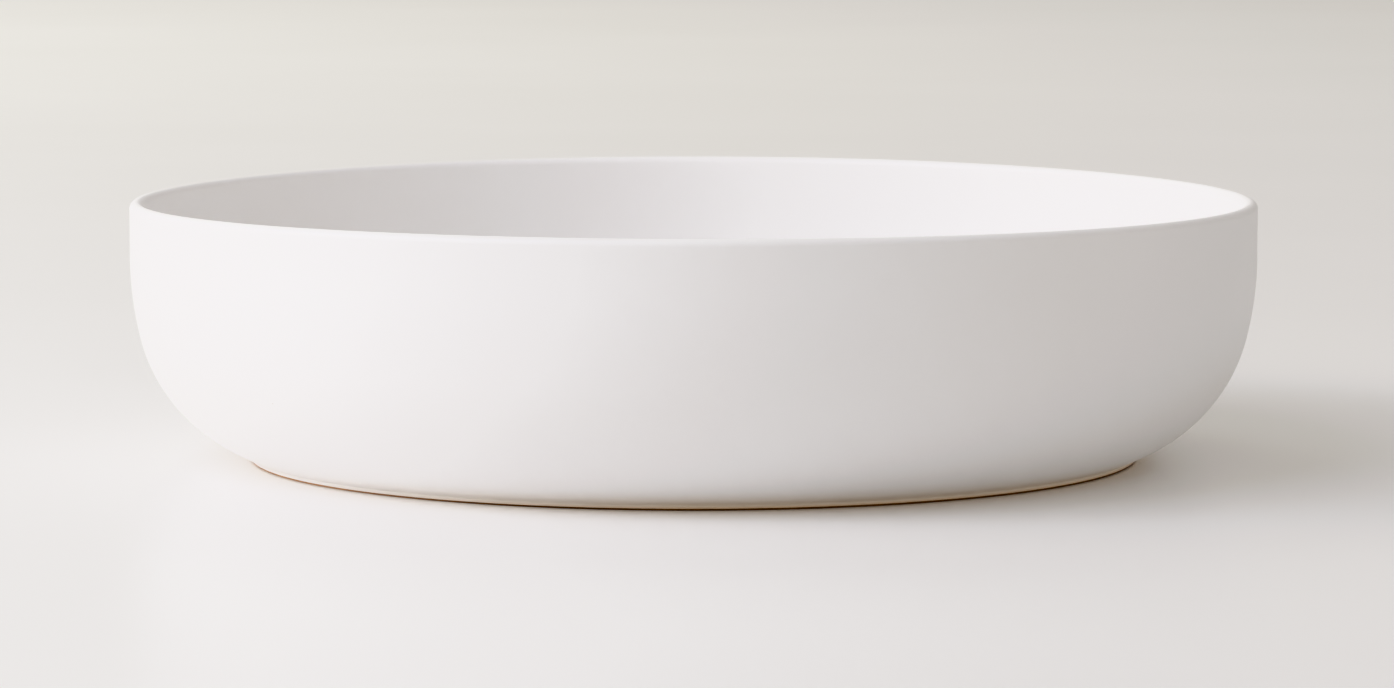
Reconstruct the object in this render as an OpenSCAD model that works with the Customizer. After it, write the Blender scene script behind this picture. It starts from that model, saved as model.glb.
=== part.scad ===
// Low, wide serving bowl of porcelain with a matt white glaze, standing on a shallow foot ring.
// The bowl's axis is +Z, and the origin is the middle of the plane that the foot ring stands on.
// All sizes are in millimetres.

/* [Bowl] */
// Widest diameter, across the upright part of the wall
bowl_d = 330; // [320:1:340]
// Height from the standing plane to the crest of the rim
bowl_h = 76.5; // [72:0.5:90]
// Thickness of the wall at the rim, which is fully rounded
rim_t = 4.2; // [3:0.1:5]

/* [Wall] */
// Height at which the upright wall starts to curve in
turn_z = 60; // [57:0.5:63]
// Radius of the gentle curve that starts there, on the outside
shoulder_r = 100; // [90:1:105]
// Radius of the gentle curve that starts there, on the inside
inner_shoulder_r = 96; // [85:1:100]
// Angle that both gentle curves turn through before the tight curves take over
shoulder_angle = 14; // [10:0.5:18]
// Height of the flat floor inside the bowl
floor_z = 7.2; // [6.6:0.1:9]

/* [Foot] */
// Outside diameter of the foot ring, over its glaze
foot_d = 261; // [255:1:264]
// Width of the foot ring, glaze to glaze
foot_w = 7; // [5:0.5:10]
// Height of the foot ring's outer face, where the curve of the wall would meet it
foot_h = 1.7; // [1.7:0.1:2.2]
// Depth of the recess inside the foot ring
recess_depth = 2.8; // [2.6:0.1:3.2]
// Radius of the glaze that fills the corners between the foot ring and the bowl
cove_r = 0.8; // [0.6:0.1:0.9]
// Rounding of the bare edges that meet the table
foot_edge_r = 0.4; // [0.2:0.1:0.4]

/* [Glaze] */
// Thickness of the glaze
glaze_t = 0.4; // [0.3:0.05:0.5]
// Height of the glaze line, below which the foot ring is bare clay
glaze_line_z = 0.5; // [0.4:0.05:0.6]

/* [Hidden] */
$fn = 180;

large_step = 2.5; // degrees between the points of the wall's large curves
small_step = 7.5; // degrees between the points of the rim and the coves
edge_step = 22.5; // degrees between the points of the foot's edges and the ends of the glaze

bowl_r = bowl_d / 2;
inner_r = bowl_r - rim_t;
rim_r = rim_t / 2;
rim_centre = [bowl_r - rim_r, bowl_h - rim_r];

foot_r = foot_d / 2;
foot_inner_r = foot_r - foot_w;
clay_foot_r = foot_r - glaze_t;
clay_foot_inner_r = foot_inner_r + glaze_t;
clay_recess_z = recess_depth + glaze_t;
bead_z = glaze_line_z + glaze_t; // height of the centre of the glaze's rounded lower edge

// Unit vector at an angle above the horizontal, pointing away from the bowl's axis.
function along(angle) = [cos(angle), sin(angle)];

// On each side of the wall the gentle curve runs smoothly into a tight one. The outer tight curve
// passes through the top of the foot's outer face, and the inner one ends level with the floor.
// Each tight centre lies on the gentle curve's last radius, this far from the gentle centre.
outer_gentle_c = [bowl_r - shoulder_r, turn_z];
to_foot = [foot_r, foot_h] - outer_gentle_c;
outer_shift = (to_foot * to_foot - pow(shoulder_r, 2))
    / (2 * (to_foot * along(-shoulder_angle) - shoulder_r));
outer_tight_r = shoulder_r - outer_shift;
outer_tight_c = outer_gentle_c + outer_shift * along(-shoulder_angle);

inner_gentle_c = [inner_r - inner_shoulder_r, turn_z];
inner_shift = (inner_shoulder_r - turn_z + floor_z) / (1 - sin(shoulder_angle));
inner_tight_r = inner_shoulder_r - inner_shift;
inner_tight_c = inner_gentle_c + inner_shift * along(-shoulder_angle);

// Height of a circle's lower side at a distance from the bowl's axis.
function low_side(centre, r, x) = centre.y - sqrt(pow(r, 2) - pow(x - centre.x, 2));

// The clay of the foot ring meets the clay of the wall where the wall's curve reaches the ring.
seat_z = low_side(outer_tight_c, outer_tight_r - glaze_t, clay_foot_r);
seat_angle = atan2(seat_z - outer_tight_c.y, clay_foot_r - outer_tight_c.x);

// The outer cove touches the curve of the wall and the foot's upright face.
cove_centre = [
    foot_r + cove_r,
    low_side(outer_tight_c, outer_tight_r + cove_r, foot_r + cove_r)
];
cove_angle = atan2(cove_centre.y - outer_tight_c.y, cove_centre.x - outer_tight_c.x);

// Points along an arc, from one angle to another, with both ends.
function arc(centre, r, from, to, step) =
    let (n = ceil(abs(to - from) / step))
    [for (i = [0 : n]) centre + r * along(from + (to - from) * i / n)];

// The same points in the opposite order.
function reversed(points) = [for (i = [len(points) - 1 : -1 : 0]) points[i]];

// All points but the first, which the outline already has.
function tail(points) = [for (i = [1 : len(points) - 1]) points[i]];

// The outside of the wall, from the rim's crest down to an angle of the tight curve, and that
// far inside the glazed surface.
function outer_side(inset, end_angle) = concat(
    arc(rim_centre, rim_r - inset, 90, 0, small_step),
    arc(outer_gentle_c, shoulder_r - inset, 0, -shoulder_angle, large_step),
    tail(arc(outer_tight_c, outer_tight_r - inset, -shoulder_angle, end_angle, large_step))
);

// The inside of the wall, from the rim's crest down to the middle of the floor, likewise.
function inner_side(inset) = concat(
    arc(rim_centre, rim_r - inset, 90, 180, small_step),
    arc(inner_gentle_c, inner_shoulder_r + inset, 0, -shoulder_angle, large_step),
    tail(arc(inner_tight_c, inner_tight_r + inset, -shoulder_angle, -90, large_step)),
    [[0, floor_z - inset]]
);

// Fired clay of the wall and the floor, in one, with a seat for the foot ring under it.
module porcelain_body() {
    color("#ece7df")
    rotate_extrude()
    polygon(concat(
        outer_side(glaze_t, seat_angle),
        [[clay_foot_inner_r, seat_z], [clay_foot_inner_r, clay_recess_z], [0, clay_recess_z]],
        reversed(tail(inner_side(glaze_t)))
    ));
}

// Ring of bare fired clay that the bowl stands on, with rounded edges.
module foot_ring() {
    color("#d9c4a6")
    rotate_extrude()
    polygon(concat(
        [[clay_foot_inner_r, seat_z], [clay_foot_r, seat_z]],
        arc([clay_foot_r - foot_edge_r, foot_edge_r], foot_edge_r, 0, -90, edge_step),
        arc([clay_foot_inner_r + foot_edge_r, foot_edge_r], foot_edge_r, -90, -180, edge_step)
    ));
}

// Glaze of the inside, from the rim's crest down over the floor.
module inner_glaze() {
    color("#f5f4f2")
    rotate_extrude()
    polygon(concat(inner_side(0), reversed(inner_side(glaze_t))));
}

// Glaze of the outside, from the rim's crest over the cove to a rounded edge on the foot.
module outer_glaze() {
    color("#f5f4f2")
    rotate_extrude()
    polygon(concat(
        outer_side(0, cove_angle),
        tail(arc(cove_centre, cove_r, cove_angle + 180, 180, small_step)),
        arc([clay_foot_r, bead_z], glaze_t, 0, -90, edge_step),
        reversed(outer_side(glaze_t, seat_angle))
    ));
}

// Glaze of the recess inside the foot ring, down to the same kind of rounded edge.
module base_glaze() {
    color("#f5f4f2")
    rotate_extrude()
    polygon(concat(
        [[clay_foot_inner_r, clay_recess_z], [0, clay_recess_z], [0, recess_depth]],
        arc([foot_inner_r - cove_r, recess_depth - cove_r], cove_r, 90, 0, small_step),
        arc([clay_foot_inner_r, bead_z], glaze_t, 180, 270, edge_step)
    ));
}

porcelain_body();
foot_ring();
inner_glaze();
outer_glaze();
base_glaze();
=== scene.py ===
"""The looks of a low, wide serving bowl of white porcelain with a matt glaze.

The bowl is a solid of revolution, so each piece is one cross-section turned about Z. The sizes come
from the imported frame. What a box can't say, such as the radii of the curves, is named below, in metres.
"""
import math

import bmesh
import bpy
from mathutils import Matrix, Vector, noise


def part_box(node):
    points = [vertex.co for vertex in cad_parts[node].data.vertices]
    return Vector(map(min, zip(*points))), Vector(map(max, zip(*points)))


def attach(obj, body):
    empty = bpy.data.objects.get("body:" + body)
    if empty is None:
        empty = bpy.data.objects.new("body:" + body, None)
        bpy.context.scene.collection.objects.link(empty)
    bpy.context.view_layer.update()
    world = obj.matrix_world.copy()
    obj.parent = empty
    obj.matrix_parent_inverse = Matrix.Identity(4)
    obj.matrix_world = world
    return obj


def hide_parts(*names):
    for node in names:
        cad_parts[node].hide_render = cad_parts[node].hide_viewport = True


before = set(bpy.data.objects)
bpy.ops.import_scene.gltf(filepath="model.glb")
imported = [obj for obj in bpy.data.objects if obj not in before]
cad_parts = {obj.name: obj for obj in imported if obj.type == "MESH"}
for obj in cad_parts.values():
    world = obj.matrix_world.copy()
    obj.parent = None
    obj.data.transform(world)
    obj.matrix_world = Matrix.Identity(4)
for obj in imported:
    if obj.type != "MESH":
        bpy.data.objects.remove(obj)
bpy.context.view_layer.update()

MM = 0.001

# ---------------------------------------------------------------- sizes that the frame gives

outer_low, outer_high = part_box("outer_glaze")
inner_low, inner_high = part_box("inner_glaze")
base_low, base_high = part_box("base_glaze")
body_low, body_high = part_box("porcelain_body")
ring_low, ring_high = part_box("foot_ring")

BOWL_R = outer_high.x
BOWL_H = outer_high.z
RIM_R = BOWL_R - inner_high.x  # the inside glaze ends at the crest, in the middle of the rim
GLAZE_T = BOWL_R - body_high.x
INNER_R = BOWL_R - 2 * RIM_R
FLOOR_Z = inner_low.z + GLAZE_T
SEAT_Z = body_low.z
CLAY_FOOT_R = ring_high.x
CLAY_FOOT_INNER_R = base_high.x
FOOT_R = CLAY_FOOT_R + GLAZE_T
FOOT_INNER_R = CLAY_FOOT_INNER_R - GLAZE_T
CLAY_RECESS_Z = base_high.z
RECESS_Z = CLAY_RECESS_Z - GLAZE_T
GLAZE_LINE_Z = outer_low.z

# ---------------------------------------------------------------- sizes of the curves

TURN_Z = 60 * MM  # the upright wall starts to curve in here
SHOULDER_R = 100 * MM
INNER_SHOULDER_R = 96 * MM
SHOULDER_ANGLE = 14  # degrees that the gentle curves turn through
FOOT_H = 1.7 * MM
COVE_R = 0.8 * MM
FOOT_EDGE_R = 0.4 * MM

# ---------------------------------------------------------------- fineness of the meshes

SEGMENTS = 288  # around the bowl
WALL_STEP = 2 * MM  # between rings on the wall and the floor
RIM_RINGS = 16  # from the crest down each side of the rim
CREST_CROWDING = 1.6  # above 1, those rings are closer together at the crest
COVE_RINGS = 8
EDGE_RINGS = 6  # on the foot's edges and the glaze's lower edges
FLAT_STEP = 6 * MM  # between rings on the glazed flats of the floor and the recess
CLAY_STEP = 8 * MM  # between rings on the clay under the recess
FOOT_STEP = 0.5 * MM  # between rings on the foot's upright faces
STANDING_STEP = 0.6 * MM  # between rings on the face that it stands on


# ---------------------------------------------------------------- cross-sections, as (radius, height)

def along(degrees):
    """Unit vector at an angle above the horizontal, pointing away from the bowl's axis."""
    angle = math.radians(degrees)
    return Vector((math.cos(angle), math.sin(angle)))


def arc(centre, radius, start, end, rings, crowding=1.0):
    """Points along an arc, closer together at its start if crowding is above 1."""
    shares = [(i / rings) ** crowding for i in range(rings + 1)]
    return [centre + radius * along(start + (end - start) * share) for share in shares]


def line(start, end, step=WALL_STEP):
    """Points along a straight stretch, evenly spaced."""
    start, end = Vector(start), Vector(end)
    count = max(1, round((end - start).length / step))
    return [start.lerp(end, i / count) for i in range(count + 1)]


def joined(*stretches):
    """Stretches that follow each other smoothly, as one run of points with no point twice."""
    run = []
    for stretch in stretches:
        for point in stretch:
            if not run or (point - run[-1]).length > 0.001 * MM:
                run.append(point)
    return run


def low_side(centre, radius, x):
    """Height of a circle's lower side at a distance from the bowl's axis."""
    return centre.y - math.sqrt(radius ** 2 - (x - centre.x) ** 2)


rim_centre = Vector((BOWL_R - RIM_R, BOWL_H - RIM_R))

# The outer tight curve passes through the top of the foot's face, and the inner one ends on the floor.
outer_gentle = Vector((BOWL_R - SHOULDER_R, TURN_Z))
to_foot = Vector((FOOT_R, FOOT_H)) - outer_gentle
shift = (to_foot.length_squared - SHOULDER_R ** 2) / (2 * (to_foot.dot(along(-SHOULDER_ANGLE)) - SHOULDER_R))
outer_tight_r = SHOULDER_R - shift
outer_tight = outer_gentle + shift * along(-SHOULDER_ANGLE)

inner_gentle = Vector((INNER_R - INNER_SHOULDER_R, TURN_Z))
shift = (INNER_SHOULDER_R - TURN_Z + FLOOR_Z) / (1 - math.sin(math.radians(SHOULDER_ANGLE)))
inner_tight_r = INNER_SHOULDER_R - shift
inner_tight = inner_gentle + shift * along(-SHOULDER_ANGLE)

cove = Vector((FOOT_R + COVE_R, low_side(outer_tight, outer_tight_r + COVE_R, FOOT_R + COVE_R)))
cove_angle = math.degrees(math.atan2(cove.y - outer_tight.y, cove.x - outer_tight.x))
seat_angle = math.degrees(math.atan2(SEAT_Z - outer_tight.y, CLAY_FOOT_R - outer_tight.x))


def rings_for(radius, degrees):
    """How many rings an arc of the wall takes."""
    return max(4, round(radius * math.radians(abs(degrees)) / WALL_STEP))


def outer_side(inset, end_angle):
    """The outside of the wall from the rim's crest down to an angle of the tight curve."""
    return joined(
        arc(rim_centre, RIM_R - inset, 90, 0, RIM_RINGS, CREST_CROWDING),
        line((BOWL_R - inset, rim_centre.y), (BOWL_R - inset, TURN_Z)),
        arc(outer_gentle, SHOULDER_R - inset, 0, -SHOULDER_ANGLE, rings_for(SHOULDER_R, SHOULDER_ANGLE)),
        arc(outer_tight, outer_tight_r - inset, -SHOULDER_ANGLE, end_angle,
            rings_for(outer_tight_r, end_angle + SHOULDER_ANGLE)),
    )


def inner_side(inset):
    """The inside of the wall from the rim's crest down to the middle of the floor."""
    floor = FLOOR_Z - inset
    return joined(
        arc(rim_centre, RIM_R - inset, 90, 180, RIM_RINGS, CREST_CROWDING),
        line((INNER_R + inset, rim_centre.y), (INNER_R + inset, TURN_Z)),
        arc(inner_gentle, INNER_SHOULDER_R + inset, 0, -SHOULDER_ANGLE,
            rings_for(INNER_SHOULDER_R, SHOULDER_ANGLE)),
        arc(inner_tight, inner_tight_r + inset, -SHOULDER_ANGLE, -90,
            rings_for(inner_tight_r, 90 - SHOULDER_ANGLE)),
        line((inner_tight.x, floor), (0, floor), FLAT_STEP),
    )


def glaze_edge(x, start, end):
    """The rounded lower edge of the glaze, against the upright clay of the foot at x."""
    return arc(Vector((x, GLAZE_LINE_Z + GLAZE_T)), GLAZE_T, start, end, EDGE_RINGS)


# Each cross-section is a list of runs. A run is smooth, and two runs meet at a sharp corner.
def body_section():
    return [
        line((0, CLAY_RECESS_Z), (CLAY_FOOT_INNER_R, CLAY_RECESS_Z), CLAY_STEP),
        line((CLAY_FOOT_INNER_R, CLAY_RECESS_Z), (CLAY_FOOT_INNER_R, SEAT_Z)),
        line((CLAY_FOOT_INNER_R, SEAT_Z), (CLAY_FOOT_R, SEAT_Z)),
        joined(reversed(outer_side(GLAZE_T, seat_angle)), inner_side(GLAZE_T)),
    ]


def ring_section():
    low_outer = Vector((CLAY_FOOT_R - FOOT_EDGE_R, FOOT_EDGE_R))
    low_inner = Vector((CLAY_FOOT_INNER_R + FOOT_EDGE_R, FOOT_EDGE_R))
    return [
        line((CLAY_FOOT_INNER_R, SEAT_Z), (CLAY_FOOT_R, SEAT_Z)),
        joined(
            line((CLAY_FOOT_R, SEAT_Z), (CLAY_FOOT_R, FOOT_EDGE_R), FOOT_STEP),
            arc(low_outer, FOOT_EDGE_R, 0, -90, EDGE_RINGS),
            line((low_outer.x, 0), (low_inner.x, 0), STANDING_STEP),
            arc(low_inner, FOOT_EDGE_R, -90, -180, EDGE_RINGS),
            line((CLAY_FOOT_INNER_R, FOOT_EDGE_R), (CLAY_FOOT_INNER_R, SEAT_Z), FOOT_STEP),
        ),
    ]


def inner_glaze_section():
    crest = Vector((rim_centre.x, BOWL_H))
    return [
        joined(reversed(inner_side(0))),
        [crest, crest - Vector((0, GLAZE_T))],
        inner_side(GLAZE_T),
    ]


def outer_glaze_section():
    crest = Vector((rim_centre.x, BOWL_H))
    return [
        joined(
            outer_side(0, cove_angle),
            arc(cove, COVE_R, cove_angle + 180, 180, COVE_RINGS),
            glaze_edge(CLAY_FOOT_R, 0, -90),
        ),
        line((CLAY_FOOT_R, GLAZE_LINE_Z), (CLAY_FOOT_R, SEAT_Z)),
        joined(reversed(outer_side(GLAZE_T, seat_angle))),
        [crest - Vector((0, GLAZE_T)), crest],
    ]


def base_glaze_section():
    corner = Vector((FOOT_INNER_R - COVE_R, RECESS_Z - COVE_R))
    return [
        joined(
            line((0, RECESS_Z), (corner.x, RECESS_Z), FLAT_STEP),
            arc(corner, COVE_R, 90, 0, COVE_RINGS),
            glaze_edge(CLAY_FOOT_INNER_R, 180, 270),
        ),
        line((CLAY_FOOT_INNER_R, GLAZE_LINE_Z), (CLAY_FOOT_INNER_R, CLAY_RECESS_Z)),
        line((CLAY_FOOT_INNER_R, CLAY_RECESS_Z), (0, CLAY_RECESS_Z), CLAY_STEP),
    ]


# ---------------------------------------------------------------- meshes

def turned(name, runs, closed):
    """A closed mesh made by turning a cross-section about Z. A closed section ends where it starts,
    and an open one starts and ends on the axis. Each vertex keeps the height and the radius that it
    had before the kiln, for the materials to read."""
    points, corners = [], set()
    for run in runs:
        if points:
            corners.add(len(points) - 1)
            run = run[1:]
        points.extend(run)
    if closed:
        points.pop()
        corners.add(0)

    mesh = bmesh.new()
    height = mesh.verts.layers.float.new("height")
    radius = mesh.verts.layers.float.new("radius")
    rings = []
    for point in points:
        if point.x < 0.001 * MM:
            rings.append([mesh.verts.new((0, 0, point.y))])
            continue
        turns = [2 * math.pi * i / SEGMENTS for i in range(SEGMENTS)]
        places = [(point.x * math.cos(turn), point.x * math.sin(turn), point.y) for turn in turns]
        rings.append([mesh.verts.new(place) for place in places])

    pairs = list(zip(rings, rings[1:]))
    if closed:
        pairs.append((rings[-1], rings[0]))
    for upper, lower in pairs:
        for i in range(SEGMENTS):
            j = (i + 1) % SEGMENTS
            ends = [(upper, i), (upper, j), (lower, j), (lower, i)]
            # On the axis a ring is a single vertex, and the face is a triangle.
            face_corners = dict.fromkeys(ring[index % len(ring)] for ring, index in ends)
            mesh.faces.new(list(face_corners)).smooth = True

    for index in corners:
        ring = rings[index]
        for i in range(len(ring)):
            edge = mesh.edges.get((ring[i], ring[(i + 1) % len(ring)])) if len(ring) > 1 else None
            if edge:
                edge.smooth = False
    for vertex in mesh.verts:
        vertex[height] = vertex.co.z
        vertex[radius] = vertex.co.xy.length
        vertex.co = unevenness(vertex.co)
    bmesh.ops.recalc_face_normals(mesh, faces=mesh.faces)

    data = bpy.data.meshes.new(name)
    mesh.to_mesh(data)
    mesh.free()
    piece = bpy.data.objects.new(name, data)
    bpy.context.scene.collection.objects.link(piece)
    return piece


# The rim of the fired bowl rises by this at the front and the back and falls by it at the sides.
RIM_LIFT = 0.65 * MM
RIM_OVAL = 0.16 * MM  # how far the rim is out of round
SOFT_DENTS = 0.05 * MM
STILL_R = 20 * MM  # nothing moves outwards much within this distance of the axis


def unevenness(point):
    """Where a point of the perfect bowl lies on the fired one: it leaves the kiln a trace out of true.
    Every piece goes through this, so what touches still touches, and the standing plane stays flat."""
    height = max(0.0, point.z / BOWL_H)
    turn = math.atan2(point.y, point.x)
    oval = RIM_OVAL * math.cos(2 * turn + 0.7) + 0.07 * MM * math.cos(3 * turn - 0.9)
    lift = RIM_LIFT * math.cos(2 * turn - 2.97) + 0.09 * MM * math.cos(3 * turn + 1.1)
    radius = max(point.xy.length, MM)
    soft = SOFT_DENTS * noise.noise(point * 22 + Vector((5, 3, 9)))
    spread = (oval * height ** 1.5 + soft * height) / radius * min(1.0, radius / STILL_R)
    return Vector((point.x * (1 + spread), point.y * (1 + spread), point.z + lift * height ** 2))


# ---------------------------------------------------------------- materials

def new_material(name):
    """A material with an empty tree but for its Principled shader, and the shader."""
    material = bpy.data.materials.new(name)
    material.use_nodes = True
    shader = material.node_tree.nodes["Principled BSDF"]
    return material, material.node_tree, shader


def node(tree, kind, **settings):
    """A new shader node with these attributes and, where the name is a socket's, these values."""
    made = tree.nodes.new(kind)
    for key, value in settings.items():
        if hasattr(made, key):
            setattr(made, key, value)
        else:
            made.inputs[key.replace("_", " ")].default_value = value
    return made


def object_position(tree):
    """The place on the object, in metres."""
    return node(tree, "ShaderNodeTexCoord").outputs["Object"]


def noise_at(tree, position, scale, detail):
    """Smooth noise around 0.5. The scale is in cells to the metre."""
    made = node(tree, "ShaderNodeTexNoise", Scale=scale, Detail=detail, Roughness=0.5)
    tree.links.new(position, made.inputs["Vector"])
    return made.outputs["Fac"]


def remap(tree, value, from_low, from_high, to_low, to_high):
    """A number moved from one range to another, and held at the ends of the second."""
    made = node(tree, "ShaderNodeMapRange", From_Min=from_low, From_Max=from_high, To_Min=to_low,
                To_Max=to_high)
    tree.links.new(value, made.inputs["Value"])
    return made.outputs["Result"]


def mixed(tree, share, first, second):
    """Colour between two, each a colour or an output."""
    made = node(tree, "ShaderNodeMix", data_type="RGBA")
    tree.links.new(share, made.inputs["Factor"])
    for socket, colour in ((made.inputs[6], first), (made.inputs[7], second)):
        if isinstance(colour, tuple):
            socket.default_value = (*colour, 1)
        else:
            tree.links.new(colour, socket)
    return made.outputs[2]


def bumped(tree, height, distance, under=None, strength=1.0):
    """A normal with relief up to a distance, laid over another bump if there is one under it."""
    made = node(tree, "ShaderNodeBump", Strength=strength, Distance=distance)
    tree.links.new(height, made.inputs["Height"])
    if under is not None:
        tree.links.new(under, made.inputs["Normal"])
    return made.outputs["Normal"]


def carried(tree, name):
    """A number that each vertex of the mesh carries."""
    return node(tree, "ShaderNodeAttribute", attribute_name=name).outputs["Fac"]


def multiplied(tree, first, second):
    """The product of two numbers, each a plain number or an output."""
    made = node(tree, "ShaderNodeMath", operation="MULTIPLY")
    for socket, value in zip(made.inputs, (first, second)):
        if isinstance(value, float):
            socket.default_value = value
        else:
            tree.links.new(value, socket)
    return made.outputs[0]


def specks(tree, position, per_metre, size, share):
    """Small round spots, one in some of the cells of a fine mesh of cells. The size is in metres."""
    cells = node(tree, "ShaderNodeTexVoronoi", Scale=per_metre)
    tree.links.new(position, cells.inputs["Vector"])
    near = remap(tree, cells.outputs["Distance"], 0.6 * size * per_metre, size * per_metre, 1, 0)
    pick = node(tree, "ShaderNodeSeparateColor")
    tree.links.new(cells.outputs["Color"], pick.inputs["Color"])
    chosen = remap(tree, pick.outputs["Red"], share, share + 0.01, 1, 0)
    return multiplied(tree, near, chosen)


def shaded_side_share(tree, position, full_from):
    """Share of painted shade across the bowl: none at the lit left end, and in full from this X on."""
    split = node(tree, "ShaderNodeSeparateXYZ")
    tree.links.new(position, split.inputs["Vector"])
    return remap(tree, split.outputs["X"], -0.84 * FOOT_R, full_from, 0, 1)


def matt_glaze():
    """White glaze with a soft, eggshell surface."""
    material, tree, shader = new_material("matt_glaze")
    position = object_position(tree)
    height = carried(tree, "height")

    drift = remap(tree, noise_at(tree, position, 14, 3), 0.3, 0.7, 0, 1)
    colour = mixed(tree, drift, (0.885, 0.875, 0.871), (0.90, 0.892, 0.889))
    # It runs thin over the crest, where the clay warms it.
    thin = remap(tree, height, BOWL_H - 0.7 * MM, BOWL_H, 0, 0.5)
    patchy = remap(tree, noise_at(tree, position, 70, 3), 0.35, 0.65, 0.3, 1)
    colour = mixed(tree, multiplied(tree, thin, patchy), colour, (0.85, 0.822, 0.79))
    # Painted warm bounce light on the shaded right side: a warm tint near the foot that fades upwards and
    # towards the middle of the recess. The glaze's wiped lower edge gets a warm stain, painted only on that
    # shaded side, so it is partly a real stain and partly painted shade.
    upwards = remap(tree, height, GLAZE_LINE_Z, FLOOR_Z, 1, 0)
    inwards = remap(tree, carried(tree, "radius"), FOOT_INNER_R - 15 * MM, FOOT_INNER_R, 0, 1)
    shade_share = shaded_side_share(tree, position, 0)
    painted_bounce = multiplied(tree, multiplied(tree, upwards, upwards), multiplied(tree, inwards, shade_share))
    colour = mixed(tree, painted_bounce, colour, (0.88, 0.775, 0.645))
    # Partly a real stain at the glaze's lower edge, partly painted shade: it is painted only towards the
    # shaded right side.
    stain_and_shade = remap(tree, height, GLAZE_LINE_Z + 0.1 * MM, GLAZE_LINE_Z + 0.8 * MM, 0.8, 0)
    colour = mixed(tree, multiplied(tree, stain_and_shade, shade_share), colour, (0.80, 0.61, 0.41))
    iron = multiplied(tree, specks(tree, position, 60, 0.22 * MM, 0.5), 0.55)
    colour = mixed(tree, iron, colour, (0.32, 0.24, 0.17))
    tree.links.new(colour, shader.inputs["Base Color"])

    sheen = remap(tree, noise_at(tree, position, 55, 4), 0.3, 0.7, 0.42, 0.52)
    tree.links.new(sheen, shader.inputs["Roughness"])

    peel = bumped(tree, noise_at(tree, position, 260, 2), 0.012 * MM)
    grain = bumped(tree, noise_at(tree, position, 1900, 2), 0.003 * MM, peel)
    pinholes = remap(tree, specks(tree, position, 150, 0.16 * MM, 0.35), 0, 1, 1, 0)
    tree.links.new(bumped(tree, pinholes, 0.04 * MM, grain), shader.inputs["Normal"])
    return material


def bare_foot():
    """Unglazed porcelain: ground flat where it stands, and flashed a rusty brown above that. The brown is
    painted in a lit and a shaded copy, pale on the lit left side and near black on the right as painted
    shade."""
    material, tree, shader = new_material("bare_foot")
    position = object_position(tree)
    mottle = remap(tree, noise_at(tree, position, 90, 4), 0.3, 0.7, 0, 1)
    ground = mixed(tree, mottle, (0.66, 0.55, 0.43), (0.76, 0.67, 0.56))
    # Lit and shaded copies of the rust: pale where light falls on the left, near black as painted shade on
    # the right.
    pale_rust = mixed(tree, mottle, (0.42, 0.23, 0.125), (0.54, 0.33, 0.19))
    painted_shade_rust = mixed(tree, mottle, (0.065, 0.022, 0.009), (0.115, 0.044, 0.017))
    rust_and_shade = mixed(tree, shaded_side_share(tree, position, -0.35 * FOOT_R), pale_rust, painted_shade_rust)
    edge = remap(tree, carried(tree, "height"), 0.005 * MM, 0.06 * MM, 0, 1)
    colour = mixed(tree, edge, ground, rust_and_shade)
    grit = multiplied(tree, specks(tree, position, 500, 0.18 * MM, 0.3), 0.5)
    colour = mixed(tree, grit, colour, (0.20, 0.15, 0.11))
    tree.links.new(colour, shader.inputs["Base Color"])
    shader.inputs["Roughness"].default_value = 0.85

    # The grinding wheel leaves fine rings.
    rings = node(tree, "ShaderNodeTexNoise", noise_dimensions="1D", Scale=6000, Detail=3)
    tree.links.new(carried(tree, "radius"), rings.inputs["W"])
    ground_marks = bumped(tree, rings.outputs["Fac"], 0.02 * MM, strength=0.6)
    grain = bumped(tree, noise_at(tree, position, 2500, 3), 0.02 * MM, ground_marks)
    tree.links.new(grain, shader.inputs["Normal"])
    return material


def fired_clay():
    """The white clay under the glaze."""
    material, tree, shader = new_material("fired_clay")
    position = object_position(tree)
    mottle = noise_at(tree, position, 60, 3)
    colour = mixed(tree, mottle, (0.74, 0.70, 0.64), (0.80, 0.77, 0.72))
    tree.links.new(colour, shader.inputs["Base Color"])
    shader.inputs["Roughness"].default_value = 0.8
    grain = bumped(tree, noise_at(tree, position, 1500, 3), 0.02 * MM)
    tree.links.new(grain, shader.inputs["Normal"])
    return material


# ---------------------------------------------------------------- the pieces

def place(piece, material, cad_node, slot):
    """Gives a finished piece its material and its place in the frame."""
    piece.data.materials.append(material)
    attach(piece, "root")
    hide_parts(cad_node)


glaze = matt_glaze()
place(turned("clay_wall_and_floor", body_section(), False), fired_clay(), "porcelain_body", "porcelain")
place(turned("bare_foot_ring", ring_section(), True), bare_foot(), "foot_ring", "bare_foot")
place(turned("inside_glaze", inner_glaze_section(), False), glaze, "inner_glaze", "matt_glaze")
place(turned("outside_glaze", outer_glaze_section(), True), glaze, "outer_glaze", "matt_glaze")
place(turned("recess_glaze", base_glaze_section(), False), glaze, "base_glaze", "matt_glaze")

# ---------------------------------------------------------------- the table

FLOOR_HALF = 20.0


def table_material():
    """Pale, polished stone."""
    material, tree, shader = new_material("pale_floor")
    position = object_position(tree)
    drift = remap(tree, noise_at(tree, position, 3, 4), 0.3, 0.7, 0, 1)
    colour = mixed(tree, drift, (0.88, 0.873, 0.86), (0.90, 0.893, 0.882))
    tree.links.new(colour, shader.inputs["Base Color"])
    shader.inputs["Roughness"].default_value = 0.3
    return material


floor_mesh = bpy.data.meshes.new("floor")
corners = [(-FLOOR_HALF, -FLOOR_HALF, 0), (FLOOR_HALF, -FLOOR_HALF, 0), (FLOOR_HALF, FLOOR_HALF, 0),
           (-FLOOR_HALF, FLOOR_HALF, 0)]
floor_mesh.from_pydata(corners, [], [(0, 1, 2, 3)])
floor = bpy.data.objects.new("floor", floor_mesh)
bpy.context.scene.collection.objects.link(floor)
floor_mesh.materials.append(table_material())

# ---------------------------------------------------------------- light

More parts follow.
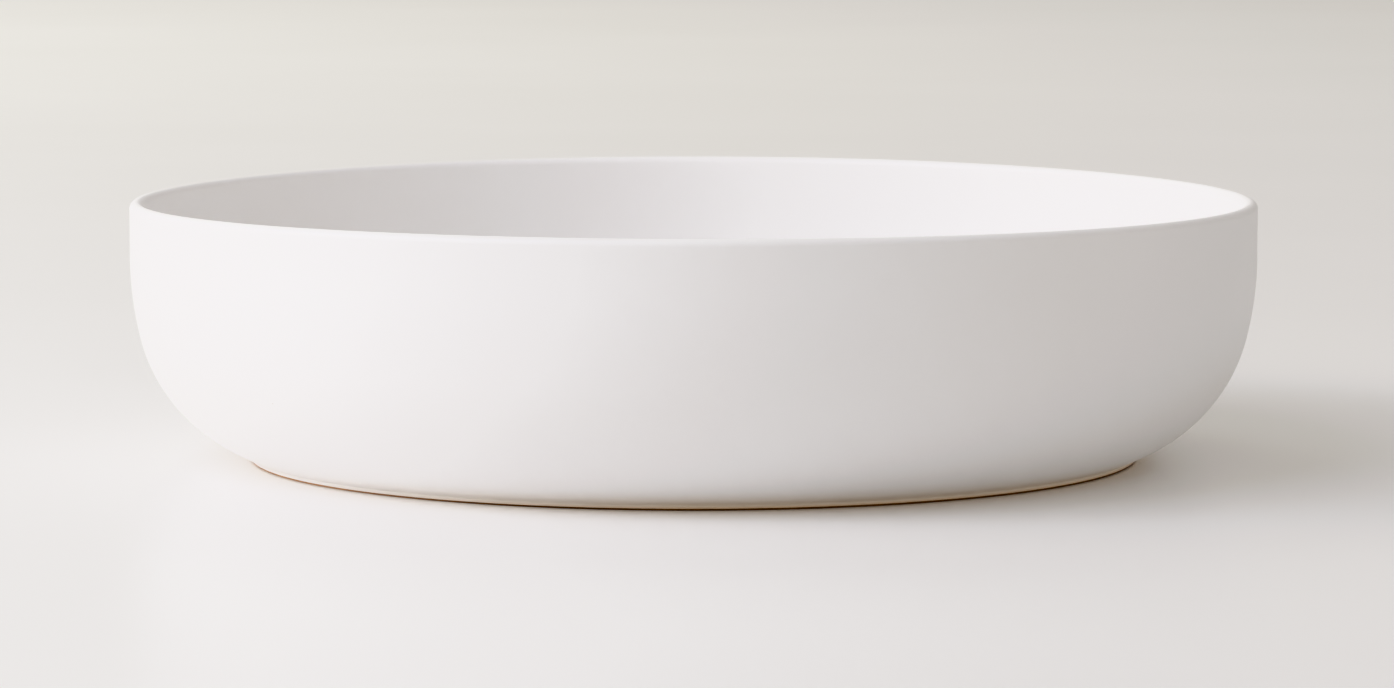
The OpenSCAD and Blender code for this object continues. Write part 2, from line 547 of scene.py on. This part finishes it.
scene = bpy.context.scene
scene.view_settings.view_transform = "Khronos PBR Neutral"
scene.cycles.max_bounces = 24
scene.cycles.diffuse_bounces = 16  # light goes back and forth many times between two white surfaces
scene.world = bpy.data.worlds.new("room")
scene.world.use_nodes = True
background = scene.world.node_tree.nodes["Background"]
background.inputs["Color"].default_value = (1.0, 0.945, 0.885, 1)
background.inputs["Strength"].default_value = 0.56


def softbox(name, place, aim, width, height, power, colour=(1, 1, 1)):
    """A rectangular area light at a place, facing a point."""
    light = bpy.data.lights.new(name, "AREA")
    light.shape = "RECTANGLE"
    light.size = width
    light.size_y = height
    light.energy = power
    light.color = colour
    lamp = bpy.data.objects.new(name, light)
    scene.collection.objects.link(lamp)
    lamp.location = place
    lamp.rotation_euler = (Vector(aim) - Vector(place)).to_track_quat("-Z", "Y").to_euler()
    return lamp


# A tall window on the left, in panes from low to high, what a wall on the right gives back of it, and
# light from above on the floor behind. The places are in metres and the powers in watts.
AIM = (0, 0, 0.03)  # in the middle of the bowl
softbox("low_pane", (-2.57, 0, 0.81), AIM, 1.6, 1.6, 25, (1.0, 0.945, 0.91))
softbox("left_pane", (-2.51, -0.67, 1.5), AIM, 1.4, 0.9, 22, (0.97, 0.985, 1.0))
softbox("front_pane", (-1.84, -1.84, 1.5), AIM, 1.4, 0.9, 9.5)
softbox("high_pane", (-1.45, -0.84, 1.99), AIM, 1.6, 1.6, 19, (0.72, 0.78, 1.0))
softbox("right_wall_bounce", (2.6, 0, 0.3), AIM, 1.6, 0.5, 1.9, (0.96, 0.96, 1.0))
softbox("light_behind", (-1.1, 2.7, 1.6), (-1.1, 2.701, 0), 1.4, 2.4, 24, (0.97, 1.0, 0.94))

# ---------------------------------------------------------------- camera

CAMERA_DISTANCE = 1.695
CAMERA_HEIGHT = 0.2021
CAMERA_PITCH = 5.706  # degrees below the horizon
LENS = 149.3

camera_data = bpy.data.cameras.new("camera")
camera_data.lens = LENS
camera_data.sensor_width = 36
camera = bpy.data.objects.new("camera", camera_data)
scene.collection.objects.link(camera)
camera.location = (0.00101, -CAMERA_DISTANCE, CAMERA_HEIGHT)
camera.rotation_euler = (math.radians(90 - CAMERA_PITCH), 0, 0)
scene.camera = camera
